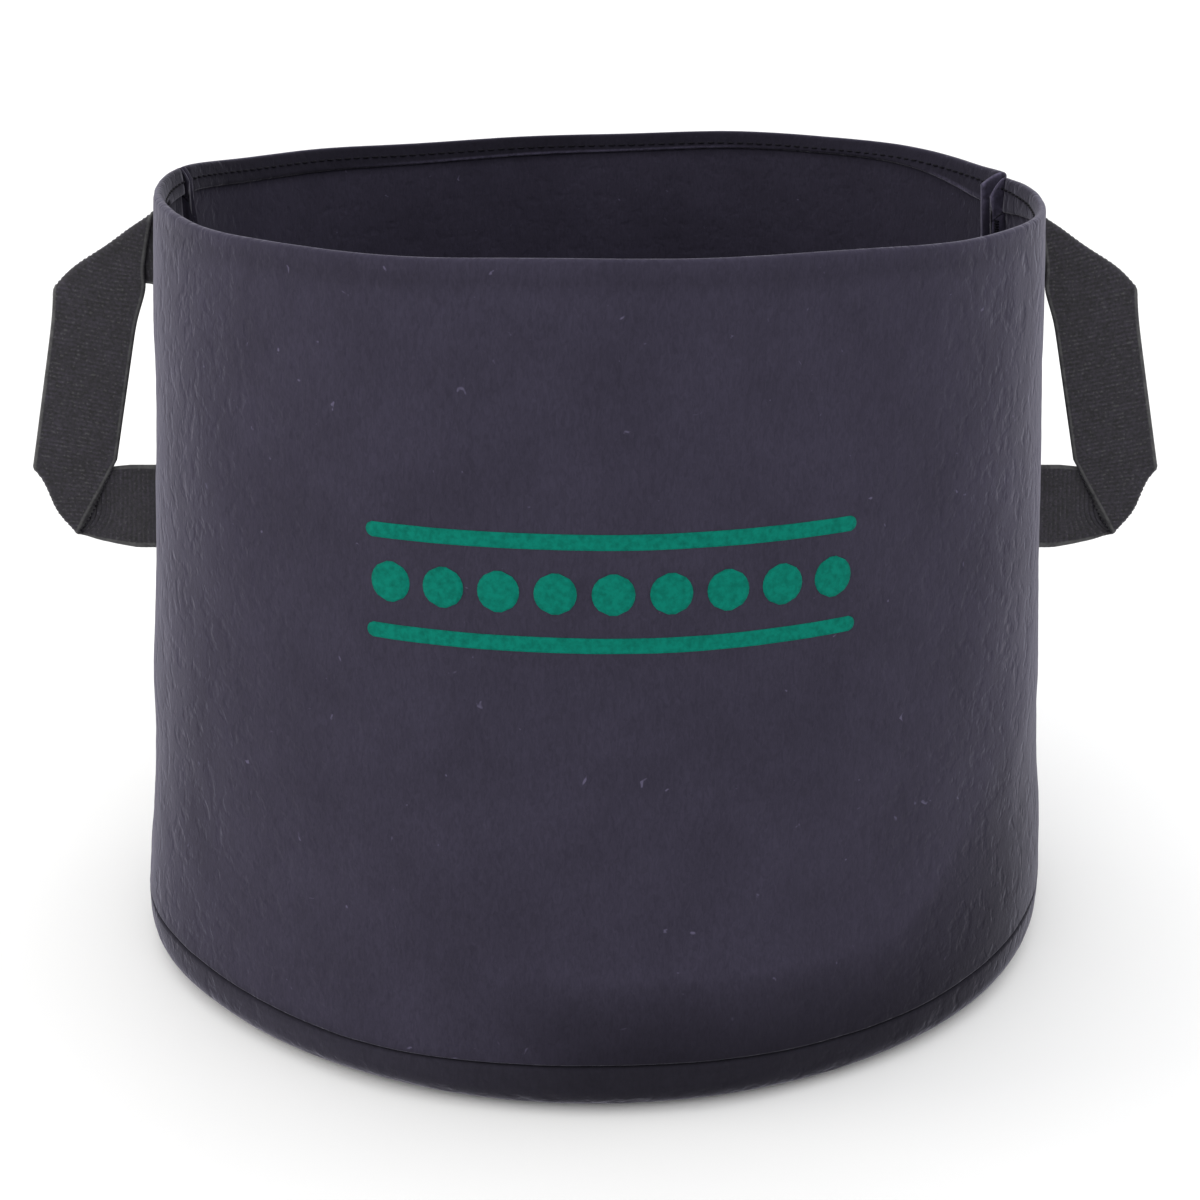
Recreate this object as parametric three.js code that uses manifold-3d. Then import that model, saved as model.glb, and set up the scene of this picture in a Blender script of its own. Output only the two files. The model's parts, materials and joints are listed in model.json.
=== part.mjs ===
// A round fabric grow bag of about 19 litres: two needle-felt wall panels joined by two side seams,
// a round base panel that turns up into the wall, and two webbing carrying handles caught in the side seams.
// Millimetres, +Z up. The origin is on the floor under the middle of the bag, and the front faces -Y.
import * as THREE from "three";
import Module from "manifold-3d";
import { mergeVertices } from "three/addons/utils/BufferGeometryUtils.js";

const manifold = await Module();
manifold.setup();

// Driving dimensions
const BAG_HEIGHT = 255;
const RIM_RADIUS = 150; // outside of the felt at the rim
const FOOT_FLARE = 12; // how much wider the bag is at the floor than at the rim
const FLARE_POWER = 1.6; // the wall stands upright at the rim and spreads towards the floor
const FELT = 2.4; // felt thickness
const GAP = 0.3; // between pieces that touch

const HEM_DEPTH = 8; // top edge folded inwards
const HEM_STITCH_DROP = 5.6; // from the rim down to the line of stitching
const ALLOWANCE = 10; // felt turned inwards along each seam
const SEAM_HALF_GAP = 0.2; // between the seam plane and each panel
const SEAM_SETBACK = THREE.MathUtils.degToRad(11); // each side seam lies this far behind the widest point

const BASE_SEAM_HEIGHT = 15.5; // where the turned-up base meets the wall
const BASE_SEAM_GAP = 1.2; // open groove that holds the stitching
const BASE_EDGE_RADIUS = 9; // rounded corner between the base and its turned-up edge

const WEBBING_WIDTH = 30;
const WEBBING_THICKNESS = 1.6;
const FOLD_OVERLAP = 0.2; // the folded layers are one piece where they lie on each other
const UPPER_END_HEIGHT = 227; // middle of the handle's upper end
const LOWER_END_HEIGHT = 132.5; // middle of the handle's lower end
const HINGE_STANDOFF = 1.7; // from the felt to the line that the webbing bends about

// Corners of the handle's free loop: distance from the bag's middle plane, height above the floor
const HANDLE_SHOULDER = [191.5, 217]; // end of the upper fold, where the corner starts to round
const HANDLE_CORNER = [195.5, 210]; // below the upper fold, on the outer edge
const HANDLE_SIDE = [199.5, 180]; // halfway down the outer edge
const HANDLE_TIP = [207, 147.5]; // top of the lower fold, the furthest point out
const HANDLE_FOOT = [191, 121.5]; // bottom of the lower fold, on the inner edge
const HANDLE_HEEL = [184, 118.5]; // where the return run's lower edge straightens
const HANDLE_GAP_FOOT = [176, 149]; // bottom corner of the finger gap
const HANDLE_GAP_SIDE = [169.5, 180];
const HANDLE_GAP_HEAD = [163, 212]; // top corner of the finger gap
const HANDLE_ROOT_FLAT = 4; // level run of the upper end before its diagonal fold

const THREAD_RADIUS = 0.35;
const TACK_LENGTH = 6; // bar tack, along the seam allowance
const TACK_HEIGHT = 24;
const TACK_THICKNESS = 0.6;

const ARC_STEP = THREE.MathUtils.degToRad(5);
const THREAD_SIDES = 6;
const WALL_LEVELS = 9;
const FOLD_STEPS = 4;

const felt = new THREE.MeshStandardMaterial({ color: 0x383543, roughness: 0.95, metalness: 0 });
const baseFelt = new THREE.MeshStandardMaterial({ color: 0x2f2d3a, roughness: 0.95, metalness: 0 });
const webbing = new THREE.MeshStandardMaterial({ color: 0x37343b, roughness: 0.75, metalness: 0 });
const thread = new THREE.MeshStandardMaterial({ color: 0x24222c, roughness: 0.6, metalness: 0 });

// Outer radius of the wall at a height above the floor.
function wallRadius(z) {
  return RIM_RADIUS + FOOT_FLARE * Math.pow(1 - z / BAG_HEIGHT, FLARE_POWER);
}

const HINGE_RADIUS = wallRadius(LOWER_END_HEIGHT - WEBBING_WIDTH / 2) + HINGE_STANDOFF;
const WALL_FOOT = BASE_SEAM_HEIGHT + BASE_SEAM_GAP / 2;
const BASE_TOP = BASE_SEAM_HEIGHT - BASE_SEAM_GAP / 2;

// Points on an arc about a centre, from one angle to another, both in degrees.
function arc(x, y, radius, from, to, steps = FOLD_STEPS) {
  return Array.from({ length: steps + 1 }, (_, i) => {
    const angle = THREE.MathUtils.degToRad(from + ((to - from) * i) / steps);
    return new THREE.Vector2(x + radius * Math.cos(angle), y + radius * Math.sin(angle));
  });
}

// Points down or up a face of the wall, inset from its outside.
function wallLine(inset, fromZ, toZ, levels) {
  return Array.from({ length: levels }, (_, i) => {
    const z = fromZ + ((toZ - fromZ) * i) / (levels - 1);
    return new THREE.Vector2(wallRadius(z) - inset, z);
  });
}

// Section of the wall as radius and height: folded in at the hem, and folded up again at the foot.
function wallSection() {
  const hemEdge = BAG_HEIGHT - HEM_DEPTH;
  const footEdge = WALL_FOOT + ALLOWANCE;
  const footRadius = wallRadius(WALL_FOOT);
  return [
    ...wallLine(0, WALL_FOOT + FELT, BAG_HEIGHT - FELT, WALL_LEVELS),
    ...arc(RIM_RADIUS - FELT, BAG_HEIGHT - FELT, FELT, 30, 180),
    new THREE.Vector2(RIM_RADIUS - 2 * FELT, hemEdge),
    ...wallLine(FELT, hemEdge, footEdge, WALL_LEVELS),
    new THREE.Vector2(wallRadius(footEdge) - 2 * FELT, footEdge),
    ...arc(footRadius - FELT, WALL_FOOT + FELT, FELT, 180, 330),
  ];
}

// Solid of a radius-and-height section swept about +Z between two angles.
function sweepSection(section, from, to) {
  const path = new THREE.CatmullRomCurve3([]);
  path.getPoint = (t, target = new THREE.Vector3()) => {
    const angle = from + (to - from) * t;
    return target.set(RIM_RADIUS * Math.cos(angle), RIM_RADIUS * Math.sin(angle), 0);
  };
  path.getTangent = (t, target = new THREE.Vector3()) => {
    const angle = from + (to - from) * t;
    return target.set(-Math.sin(angle), Math.cos(angle), 0);
  };
  // An extruded shape's x runs along -Z and its y towards the axis.
  const outline = section.map((p) => new THREE.Vector2(-p.y, RIM_RADIUS - p.x));
  const steps = Math.ceil((to - from) / ARC_STEP);
  return new THREE.ExtrudeGeometry(new THREE.Shape(outline), { steps, extrudePath: path });
}

// Closed ring of a radius-and-height section about +Z.
function ring(section) {
  const segments = Math.round((2 * Math.PI) / ARC_STEP);
  return new THREE.LatheGeometry(section, segments).rotateX(Math.PI / 2);
}

// Flat outline (across, up) of a given thickness. It stands upright with its middle plane at y = 0.
function uprightPlate(outline, thickness) {
  const shape = new THREE.Shape(outline);
  const plate = new THREE.ExtrudeGeometry(shape, { depth: thickness, bevelEnabled: false });
  return plate.translate(0, 0, -thickness / 2).rotateX(Math.PI / 2);
}

function toSolid(geometry) {
  const bare = geometry.clone();
  bare.deleteAttribute("normal");
  bare.deleteAttribute("uv");
  const merged = mergeVertices(bare, 1e-3);
  return new manifold.Manifold(
    new manifold.Mesh({
      numProp: 3,
      vertProperties: merged.attributes.position.array,
      triVerts: new Uint32Array(merged.index.array),
    }),
  );
}

function toGeometry(solid) {
  const mesh = solid.getMesh();
  const geometry = new THREE.BufferGeometry();
  geometry.setAttribute("position", new THREE.BufferAttribute(mesh.vertProperties, 3));
  geometry.setIndex(new THREE.BufferAttribute(mesh.triVerts, 1));
  const flat = geometry.toNonIndexed();
  flat.computeVertexNormals();
  return flat;
}

function part(name, geometry, material) {
  const mesh = new THREE.Mesh(geometry, material);
  mesh.name = name;
  return mesh;
}

// The two side seams. Angles run anticlockwise from +X, seen from above.
const seams = [
  { side: "right", angle: SEAM_SETBACK },
  { side: "left", angle: Math.PI - SEAM_SETBACK },
];

// Places where a handle end passes through a seam.
const handleEnds = [
  { level: "upper", height: UPPER_END_HEIGHT },
  { level: "lower", height: LOWER_END_HEIGHT },
];

// One panel's seam allowance: an upright strip that points from the wall towards the axis.
// across is the tangential place of its middle plane, in the seam's own frame.
function seamAllowance(angle, across) {
  const bottom = WALL_FOOT + ALLOWANCE + GAP;
  const top = BAG_HEIGHT - HEM_DEPTH - GAP;
  const outer = wallLine(FELT / 2, bottom, top, 3);
  const inner = wallLine(FELT + ALLOWANCE, top, bottom, 3);
  return uprightPlate([...outer, ...inner], FELT).translate(0, across, 0).rotateZ(angle);
}

// Room in the felt for the webbing of one handle end.
function webbingSlot(angle, height) {
  const depth = FELT + ALLOWANCE + 2 * GAP;
  const slot = new THREE.BoxGeometry(
    2 * depth,
    WEBBING_THICKNESS + 2 * GAP,
    WEBBING_WIDTH + 2 * GAP,
  );
  return slot.translate(wallRadius(height), 0, height).rotateZ(angle);
}

// A wall panel between two seam angles, with an allowance at both ends and slots for the handle ends.
function wallPanel(name, from, to) {
  const gapAngle = SEAM_HALF_GAP / RIM_RADIUS;
  const across = SEAM_HALF_GAP + FELT / 2;
  let solid = toSolid(sweepSection(wallSection(), from + gapAngle, to - gapAngle));
  solid = solid.add(toSolid(seamAllowance(from, across)));
  solid = solid.add(toSolid(seamAllowance(to, -across)));
  for (const { angle } of seams) {
    for (const { height } of handleEnds) {
      solid = solid.subtract(toSolid(webbingSlot(angle, height)));
    }
  }
  return part(name, toGeometry(solid), felt);
}

// The base: a flat disc with a rounded edge that turns up to the seam, then steps in behind the wall's foot.
function basePanel() {
  const outside = wallRadius(BASE_SEAM_HEIGHT);
  const corner = outside - BASE_EDGE_RADIUS;
  const behindWall = 2 * FELT + GAP;
  const allowanceTop = WALL_FOOT + ALLOWANCE;
  const innerFace = wallRadius(BASE_TOP) - behindWall - FELT;
  const bend = BASE_EDGE_RADIUS - FELT;
  const section = [
    new THREE.Vector2(0, 0),
    ...arc(corner, BASE_EDGE_RADIUS, BASE_EDGE_RADIUS, -90, 0, 6),
    new THREE.Vector2(outside, BASE_TOP - FELT / 2),
    new THREE.Vector2(outside - FELT / 2, BASE_TOP),
    ...wallLine(behindWall, BASE_TOP, allowanceTop, 2),
    ...wallLine(behindWall + FELT, allowanceTop, BASE_EDGE_RADIUS, 2),
    ...arc(innerFace - bend, BASE_EDGE_RADIUS, bend, 0, -90, 3).slice(1),
    new THREE.Vector2(0, FELT),
  ];
  return part("base_panel", ring(section), baseFelt);
}

// A line of stitching that runs right round the bag.
function ringStitching(name, radius, height) {
  const section = arc(radius, height, THREAD_RADIUS, 0, 360, THREAD_SIDES);
  return part(name, ring(section), thread);
}

// A line of stitching up one side seam, on the back face of the back panel's allowance.
function seamStitching(side, angle) {
  const inset = FELT + ALLOWANCE / 2;
  const bottom = WALL_FOOT + ALLOWANCE + FELT;
  const top = BAG_HEIGHT - HEM_DEPTH - FELT;
  const points = wallLine(inset, bottom, top, 7).map((p) => new THREE.Vector3(p.x, 0, p.y));
  const section = new THREE.Shape(arc(0, 0, THREAD_RADIUS, 0, 300, THREAD_SIDES - 1));
  const line = new THREE.ExtrudeGeometry(section, {
    steps: points.length - 1,
    extrudePath: new THREE.CatmullRomCurve3(points),
  });
  const towardsBack = side === "right" ? 1 : -1;
  const across = SEAM_HALF_GAP + FELT + GAP + THREAD_RADIUS;
  line.translate(0, towardsBack * across, 0).rotateZ(angle);
  return part(`${side}_seam_stitching`, line, thread);
}

// The end of a handle's webbing, held between the two panels in a seam. It stops short of the bend line.
function handleEnd(side, angle, level, height) {
  const inner = wallRadius(height) - FELT - ALLOWANCE + GAP;
  const outer = HINGE_RADIUS - WEBBING_THICKNESS / 2 - 2 * GAP;
  const end = new THREE.BoxGeometry(outer - inner, WEBBING_THICKNESS, WEBBING_WIDTH);
  end.translate((outer + inner) / 2, 0, height).rotateZ(angle);
  return part(`${side}_handle_${level}_end`, end, webbing);
}

// Bar tack that sews a handle end to the front panel's allowance.
function barTack(side, angle, level, height) {
  const radius = wallRadius(height) - FELT - ALLOWANCE / 2;
  const towardsFront = side === "right" ? -1 : 1;
  const across = SEAM_HALF_GAP + FELT + GAP + TACK_THICKNESS / 2;
  const tack = new THREE.BoxGeometry(TACK_LENGTH, TACK_THICKNESS, TACK_HEIGHT);
  tack.translate(radius, towardsFront * across, height).rotateZ(angle);
  return part(`${side}_${level}_bar_tack`, tack, thread);
}

// One layer of a handle's folded webbing. behind is the place of its middle plane towards the back.
function webbingLayer(outline, behind) {
  const shape = outline.map(([across, up]) => new THREE.Vector2(across, up));
  return toSolid(uprightPlate(shape, WEBBING_THICKNESS).translate(0, behind, 0));
}

// The free loop of a handle. The webbing leaves the wall, folds diagonally to the front and hangs down,
// then folds diagonally to the back and returns to the wall. It stands parallel to the front of the bag.
function handleLoop(side, angle) {
  const root = HINGE_RADIUS * Math.abs(Math.cos(angle));
  const half = WEBBING_WIDTH / 2;
  const upperTop = UPPER_END_HEIGHT + half;
  const upperBottom = UPPER_END_HEIGHT - half;
  const lowerTop = LOWER_END_HEIGHT + half;
  const lowerBottom = LOWER_END_HEIGHT - half;
  const foldStart = [root + HANDLE_ROOT_FLAT, upperTop];
  const hangingRun = [
    foldStart,
    HANDLE_SHOULDER,
    HANDLE_CORNER,
    HANDLE_SIDE,
    HANDLE_TIP,
    HANDLE_FOOT,
    HANDLE_GAP_FOOT,
    HANDLE_GAP_SIDE,
    HANDLE_GAP_HEAD,
  ];
  const upperRun = [
    [root, upperTop],
    foldStart,
    HANDLE_SHOULDER,
    HANDLE_CORNER,
    HANDLE_GAP_HEAD,
    [root, upperBottom],
  ];
  const lowerRun = [
    [root, lowerTop],
    HANDLE_GAP_FOOT,
    HANDLE_TIP,
    HANDLE_FOOT,
    HANDLE_HEEL,
    [root, lowerBottom],
  ];
  const solid = webbingLayer(hangingRun, FOLD_OVERLAP - WEBBING_THICKNESS)
    .add(webbingLayer(upperRun, 0))
    .add(webbingLayer(lowerRun, 0));
  const geometry = toGeometry(solid).translate(0, HINGE_RADIUS * Math.sin(angle), 0);
  const loop = part(`${side}_handle_loop`, geometry, webbing);
  if (side === "left") loop.scale.x = -1;
  return loop;
}

const bag = new THREE.Group();
bag.add(wallPanel("front_wall_panel", seams[1].angle, 2 * Math.PI + seams[0].angle));
bag.add(wallPanel("back_wall_panel", seams[0].angle, seams[1].angle));
bag.add(basePanel());
const hemStitchRadius = RIM_RADIUS - 2 * FELT - GAP - THREAD_RADIUS;
bag.add(ringStitching("hem_stitching", hemStitchRadius, BAG_HEIGHT - HEM_STITCH_DROP));
bag.add(ringStitching("base_seam_stitching", wallRadius(BASE_SEAM_HEIGHT) - FELT, BASE_SEAM_HEIGHT));
for (const { side, angle } of seams) {
  bag.add(seamStitching(side, angle));
  bag.add(handleLoop(side, angle));
  for (const { level, height } of handleEnds) {
    bag.add(handleEnd(side, angle, level, height));
    bag.add(barTack(side, angle, level, height));
  }
}

export default bag;
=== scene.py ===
"""A felt grow bag with webbing handles, dressed around its CAD frame. Metres, +Z up, front towards -Y."""
import json
import math
from dataclasses import dataclass

import bpy
import numpy as np
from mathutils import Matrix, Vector, noise


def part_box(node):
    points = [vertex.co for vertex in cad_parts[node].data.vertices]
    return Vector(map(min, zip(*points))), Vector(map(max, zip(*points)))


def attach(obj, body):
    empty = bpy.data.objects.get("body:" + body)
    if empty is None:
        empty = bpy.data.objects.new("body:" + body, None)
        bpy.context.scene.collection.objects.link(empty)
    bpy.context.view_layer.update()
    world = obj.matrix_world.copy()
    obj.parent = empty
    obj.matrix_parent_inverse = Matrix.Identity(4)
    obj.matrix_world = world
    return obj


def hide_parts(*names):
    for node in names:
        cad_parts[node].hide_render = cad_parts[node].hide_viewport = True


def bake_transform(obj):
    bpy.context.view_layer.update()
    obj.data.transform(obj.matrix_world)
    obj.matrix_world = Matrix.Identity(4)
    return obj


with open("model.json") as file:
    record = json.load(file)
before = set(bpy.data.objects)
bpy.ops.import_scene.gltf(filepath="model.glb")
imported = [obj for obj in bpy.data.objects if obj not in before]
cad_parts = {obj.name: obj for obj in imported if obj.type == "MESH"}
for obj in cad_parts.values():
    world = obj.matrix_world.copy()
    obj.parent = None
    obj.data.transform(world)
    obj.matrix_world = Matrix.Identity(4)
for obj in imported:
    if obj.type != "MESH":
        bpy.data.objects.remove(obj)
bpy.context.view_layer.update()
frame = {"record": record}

MM = 0.001

# ---------------------------------------------------------------- sizes, from the frame where it holds them
FELT = 2.4 * MM
GAP = 0.3 * MM
HEM_DEPTH = 6.8 * MM
ALLOWANCE = 10 * MM
SEAM_SETBACK = math.radians(11)
WEBBING_WIDTH = 30 * MM
WEBBING_THICKNESS = 1.5 * MM
RIB_PITCH = 1.6 * MM
THREAD = 0.36 * MM
FLARE_POWER = 1.6

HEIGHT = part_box("back_wall_panel")[1].z
FOOT_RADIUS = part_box("base_panel")[1].x
RIM_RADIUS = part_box("hem_stitching")[1].x + 2 * FELT + GAP
BASE_SEAM = (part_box("base_seam_stitching")[0].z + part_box("base_seam_stitching")[1].z) / 2
BASE_SEAM_GAP = 0.5 * MM
BASE_EDGE = 9 * MM  # radius of the bend where the base panel turns up
FLARE = (FOOT_RADIUS - RIM_RADIUS) / (1 - BASE_SEAM / HEIGHT) ** FLARE_POWER

HINGES = {j["name"]: Vector(j["pos_m"]) for j in frame["record"]["behaviour"]["joints"]}
UPPER_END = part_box("right_handle_upper_end")
LOWER_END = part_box("right_handle_lower_end")
HANDLE_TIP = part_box("right_handle_loop")[1].x


# ---------------------------------------------------------------- shape of the felt wall
def flare_radius(z):
    """Radius of the ideal wall's outside at a height."""
    return RIM_RADIUS + FLARE * np.clip(1 - z / HEIGHT, 0, 1) ** FLARE_POWER


def lobe(angle, centre, width):
    """A soft bump around one direction: 1 at its centre, given in degrees as its width is."""
    away = (np.degrees(angle) - centre + 180) % 360 - 180
    return np.exp(-((away / width) ** 2))


def ease(t):
    """A smooth step from 0 to 1."""
    t = np.clip(t, 0, 1)
    return t * t * (3 - 2 * t)


def limp_radius(angle, z):
    """The felt is limp: how far it stands in or out of its ideal round shape."""
    height = np.clip(z / HEIGHT, 0, 1)
    rim = (
        -1.5 * np.cos(2 * angle)
        - 2.2 * np.sin(2 * angle)
        - 0.9 * np.cos(4 * angle)
        + 0.8 * np.sin(3 * angle)
        + 1.5 * lobe(angle, 173, 14)
    )
    foot = (
        1.5 * np.cos(2 * angle)
        + 0.6 * np.sin(2 * angle)
        + 2.4 * lobe(angle, 207, 12)
        - 1.8 * lobe(angle, 343, 15)
        - 0.5 * lobe(angle, 303, 15)
    )
    lean = 0.9 * np.cos(angle)
    waist = -0.8 * np.exp(-(((height - 0.25) / 0.09) ** 2))
    ripple = 0.3 * np.sin(7 * angle + 9 * height) * np.sin(math.pi * height)
    return (rim * height**5 + foot * (1 - height) ** 3 + lean + waist + ripple) * MM


def limp_lift(angle, z):
    """How far the felt stands above or below its ideal height; nothing at the floor, most at the rim."""
    height = np.clip(z / HEIGHT, 0, 1)
    rim = (
        -0.4 * np.cos(2 * angle)
        + 1.0 * np.sin(2 * angle)
        - 1.3 * np.cos(3 * angle)
        + 0.7 * np.sin(3 * angle)
        + 0.25 * np.sin(11 * angle + 1)
        + 1.0 * lobe(angle, 168, 12)
    )
    return rim * height**3 * MM


def hem_drop(angle):
    """How far the hem's cut edge hangs below its even depth: the fold was made by hand."""
    uneven = 1.4 * np.sin(1.5 * (angle - math.radians(95)))
    bunched = 6 * np.exp(-(((angle - math.radians(13)) / math.radians(17)) ** 2))
    return (uneven + bunched) * MM


def wall_radius(angle, z):
    return flare_radius(z) + limp_radius(angle, z)


SHADIEST = 315  # the direction in which the painted shade on the felt is darkest: the front right, in degrees


# Turn from the direction where the painted shade is darkest, in degrees.
def from_shadiest(angle):
    return (math.degrees(angle) - SHADIEST + 180) % 360 - 180


def painted_shade_side(angle, start, full):
    """How strong the painted shade is in one direction; it starts and gets full at two turns from its darkest
    one.
    """
    away = from_shadiest(angle)
    return ease((away - start) / (full - start)) * ease((80 - away) / 45)


def painted_wall_shade(angle, z):
    """How far the wall's felt is painted darker as shade: most at the base seam, fading out higher up."""
    reach = (43 + 52 * ease((from_shadiest(angle) + 12) / 30)) * MM
    height = np.clip((reach - z) / (reach - BASE_SEAM), 0, 1)
    return painted_shade_side(angle, -65, -39) * height**0.6


# ---------------------------------------------------------------- mesh helpers
def mesh_object(name, verts, faces, material, smooth=True):
    mesh = bpy.data.meshes.new(name)
    mesh.from_pydata([tuple(v) for v in verts], [], [tuple(f) for f in faces])
    mesh.validate()
    mesh.update()
    mesh.polygons.foreach_set("use_smooth", [smooth] * len(mesh.polygons))
    mesh.materials.append(material)
    obj = bpy.data.objects.new(name, mesh)
    bpy.context.collection.objects.link(obj)
    return obj


def loft_faces(rows, columns, start=0, close_rows=False, close_columns=True):
    """Quads over a grid of points stored row by row. A closed direction joins its last line to its first."""
    faces = []
    for i in range(rows if close_rows else rows - 1):
        for j in range(columns if close_columns else columns - 1):
            below = start + i * columns
            above = start + ((i + 1) % rows) * columns
            k = (j + 1) % columns
            faces.append((below + j, below + k, above + k, above + j))
    return faces


def roughen(points, directions, layers):
    """Moves points along their directions by layers of smooth noise: (size of a lump, depth) pairs."""
    moved = points.copy()
    for size, depth in layers:
        amounts = [noise.noise(Vector(p) / size) * depth for p in points]
        moved += directions * np.array(amounts)[:, None]
    return moved


FELT_LUMPS = [(45 * MM, 0.7 * MM), (12 * MM, 0.2 * MM), (4 * MM, 0.08 * MM)]


def wall_points(angles, heights, proud=0.0):
    """Points on the outer face of the limp wall, roughened as the panels are, standing proud of it."""
    angles, heights = np.asarray(angles, float), np.asarray(heights, float)
    outward = np.column_stack([np.cos(angles), np.sin(angles), np.zeros(len(angles))])
    flat = outward * wall_radius(angles, heights)[:, None]
    flat[:, 2] = heights + limp_lift(angles, heights)
    return roughen(flat, -outward, FELT_LUMPS) + outward * proud, outward


def tube(path, radius, sides=6, taper=0.6):
    """Points and faces of a closed thread along a path of points, thinner at its two ends."""
    path = np.asarray(path)
    tangents = np.gradient(path, axis=0)
    tangents /= np.linalg.norm(tangents, axis=1)[:, None]
    up = np.array([0.0, 0.0, 1.0])
    if abs(tangents[len(path) // 2] @ up) > 0.9:
        up = np.array([1.0, 0.0, 0.0])
    verts = []
    for i, (point, along) in enumerate(zip(path, tangents)):
        across = np.cross(along, up)
        across /= np.linalg.norm(across)
        third = np.cross(along, across)
        size = radius * (taper if i in (0, len(path) - 1) else 1)
        for k in range(sides):
            angle = 2 * math.pi * k / sides
            verts.append(point + size * (across * math.cos(angle) + third * math.sin(angle)))
    faces = loft_faces(len(path), sides)
    faces.append(tuple(range(sides))[::-1])
    faces.append(tuple(range((len(path) - 1) * sides, len(path) * sides)))
    return verts, faces


class Gather:
    """Collects small closed shapes into one mesh."""

    def __init__(self):
        self.verts = []
        self.faces = []

    def add(self, verts, faces):
        start = len(self.verts)
        self.verts.extend(verts)
        self.faces.extend(tuple(start + i for i in face) for face in faces)

    def done(self, name, material):
        return mesh_object(name, self.verts, self.faces, material)


# ---------------------------------------------------------------- materials
def new_material(name, roughness, sheen=0.0, sheen_roughness=0.5, specular=0.3):
    material = bpy.data.materials.new(name)
    material.use_nodes = True
    nodes = material.node_tree.nodes
    shader = nodes["Principled BSDF"]
    shader.inputs["Roughness"].default_value = roughness
    shader.inputs["Sheen Weight"].default_value = sheen
    shader.inputs["Sheen Roughness"].default_value = sheen_roughness
    shader.inputs["Sheen Tint"].default_value = (0.86, 0.84, 1.0, 1.0)
    shader.inputs["Specular IOR Level"].default_value = specular
    return material, nodes, material.node_tree.links, shader


def coordinates(nodes, links, scale):
    """Object coordinates scaled per axis."""
    source = nodes.new("ShaderNodeTexCoord")
    mapping = nodes.new("ShaderNodeMapping")
    mapping.inputs["Scale"].default_value = scale
    links.new(source.outputs["Object"], mapping.inputs["Vector"])
    return mapping.outputs["Vector"]


def noise_node(nodes, links, vector, scale, detail=4.0, rough=0.6, distortion=0.0):
    node = nodes.new("ShaderNodeTexNoise")
    node.inputs["Scale"].default_value = scale
    node.inputs["Detail"].default_value = detail
    node.inputs["Roughness"].default_value = rough
    node.inputs["Distortion"].default_value = distortion
    links.new(vector, node.inputs["Vector"])
    return node.outputs["Fac"]


def ramp_node(nodes, links, value, stops):
    node = nodes.new("ShaderNodeValToRGB")
    ramp = node.color_ramp
    while len(ramp.elements) < len(stops):
        ramp.elements.new(0.5)
    for element, (place, colour) in zip(ramp.elements, stops):
        element.position = place
        element.color = (*colour, 1.0)
    links.new(value, node.inputs["Fac"])
    return node.outputs["Color"]


def mix_colours(nodes, links, factor, a, b, mode="MIX"):
    node = nodes.new("ShaderNodeMix")
    node.data_type = "RGBA"
    node.blend_type = mode
    if isinstance(factor, float):
        node.inputs["Factor"].default_value = factor
    else:
        links.new(factor, node.inputs["Factor"])
    for socket, value in (("A", a), ("B", b)):
        target = [s for s in node.inputs if s.name == socket and s.type == "RGBA"][0]
        if isinstance(value, tuple):
            target.default_value = (*value, 1.0)
        else:
            links.new(value, target)
    return [s for s in node.outputs if s.type == "RGBA"][0]


def bump_node(nodes, links, height, strength, distance, under=None):
    node = nodes.new("ShaderNodeBump")
    node.inputs["Strength"].default_value = strength
    node.inputs["Distance"].default_value = distance
    links.new(height, node.inputs["Height"])
    if under is not None:
        links.new(under, node.inputs["Normal"])
    return node.outputs["Normal"]


def sine_waves(nodes, links, value, count):
    """Even waves between 0 and 1, count of them for each unit of the value."""
    phase = nodes.new("ShaderNodeMath")
    phase.operation = "MULTIPLY"
    phase.inputs[1].default_value = 2 * math.pi * count
    links.new(value, phase.inputs[0])
    wave = nodes.new("ShaderNodeMath")
    wave.operation = "SINE"
    links.new(phase.outputs[0], wave.inputs[0])
    lifted = nodes.new("ShaderNodeMath")
    lifted.operation = "MULTIPLY_ADD"
    lifted.inputs[1].default_value = 0.5
    lifted.inputs[2].default_value = 0.5
    links.new(wave.outputs[0], lifted.inputs[0])
    return lifted.outputs[0]


def multiply(nodes, links, a, b):
    node = nodes.new("ShaderNodeMath")
    node.operation = "MULTIPLY"
    links.new(a, node.inputs[0])
    links.new(b, node.inputs[1])
    return node.outputs[0]


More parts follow.
